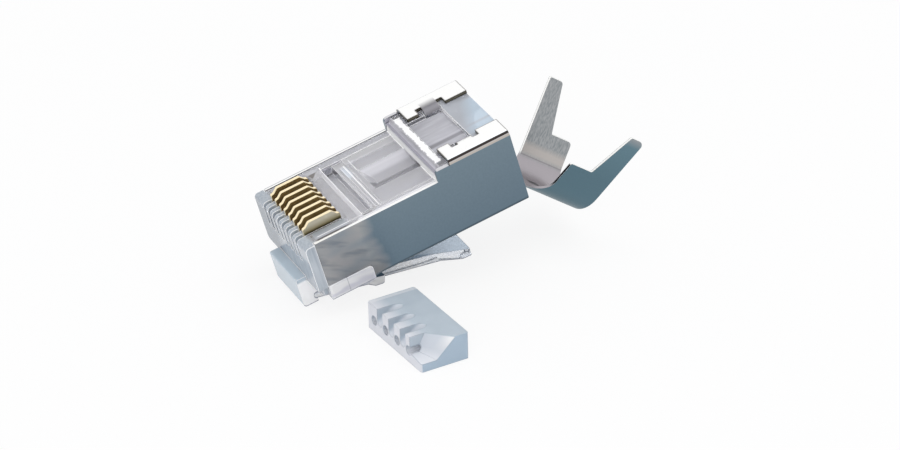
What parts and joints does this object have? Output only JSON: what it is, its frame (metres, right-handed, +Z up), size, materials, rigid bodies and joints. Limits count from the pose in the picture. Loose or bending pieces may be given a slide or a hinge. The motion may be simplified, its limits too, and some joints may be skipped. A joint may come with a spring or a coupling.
{
  "type": "rj45 modular plug",
  "caption": "Shielded modular plug with a clear housing, a spring latch, open crimp wings behind the cable entry and its loose load bar beside it.",
  "frame": {"origin": "on the supporting surface, under the middle of the box round all the pieces", "axes": "+Y from the plug's nose towards its crimp wings, level; +Z up; +X towards the load bar. The plug itself stands nose down by 14.9 degrees on its latch"},
  "size_m": [0.0242, 0.0338, 0.0146],
  "materials": {
    "clear_plastic": "clear, polished",
    "gold_contact": "gold plated",
    "plated_sheet": "nickel plated, satin",
    "frosted_plastic": "clear, frosted"
  },
  "bodies": {
    "plug": {"housing": "clear_plastic", "contact_1": "gold_contact", "contact_2": "gold_contact", "contact_3": "gold_contact", "contact_4": "gold_contact", "contact_5": "gold_contact", "contact_6": "gold_contact", "contact_7": "gold_contact", "contact_8": "gold_contact", "shield": "plated_sheet", "load_bar": "frosted_plastic"},
    "latch": {"latch_lever": "clear_plastic"}
  },
  "joints": [
    {"name": "latch_press", "type": "hinge", "parent": "plug", "child": "latch", "pos_m": [-0.00622, -0.01476, 0.00089], "axis": [1, 0, 0], "range_deg": [0, 15], "stiffness_Nm_per_rad": 0.3}
  ]
}
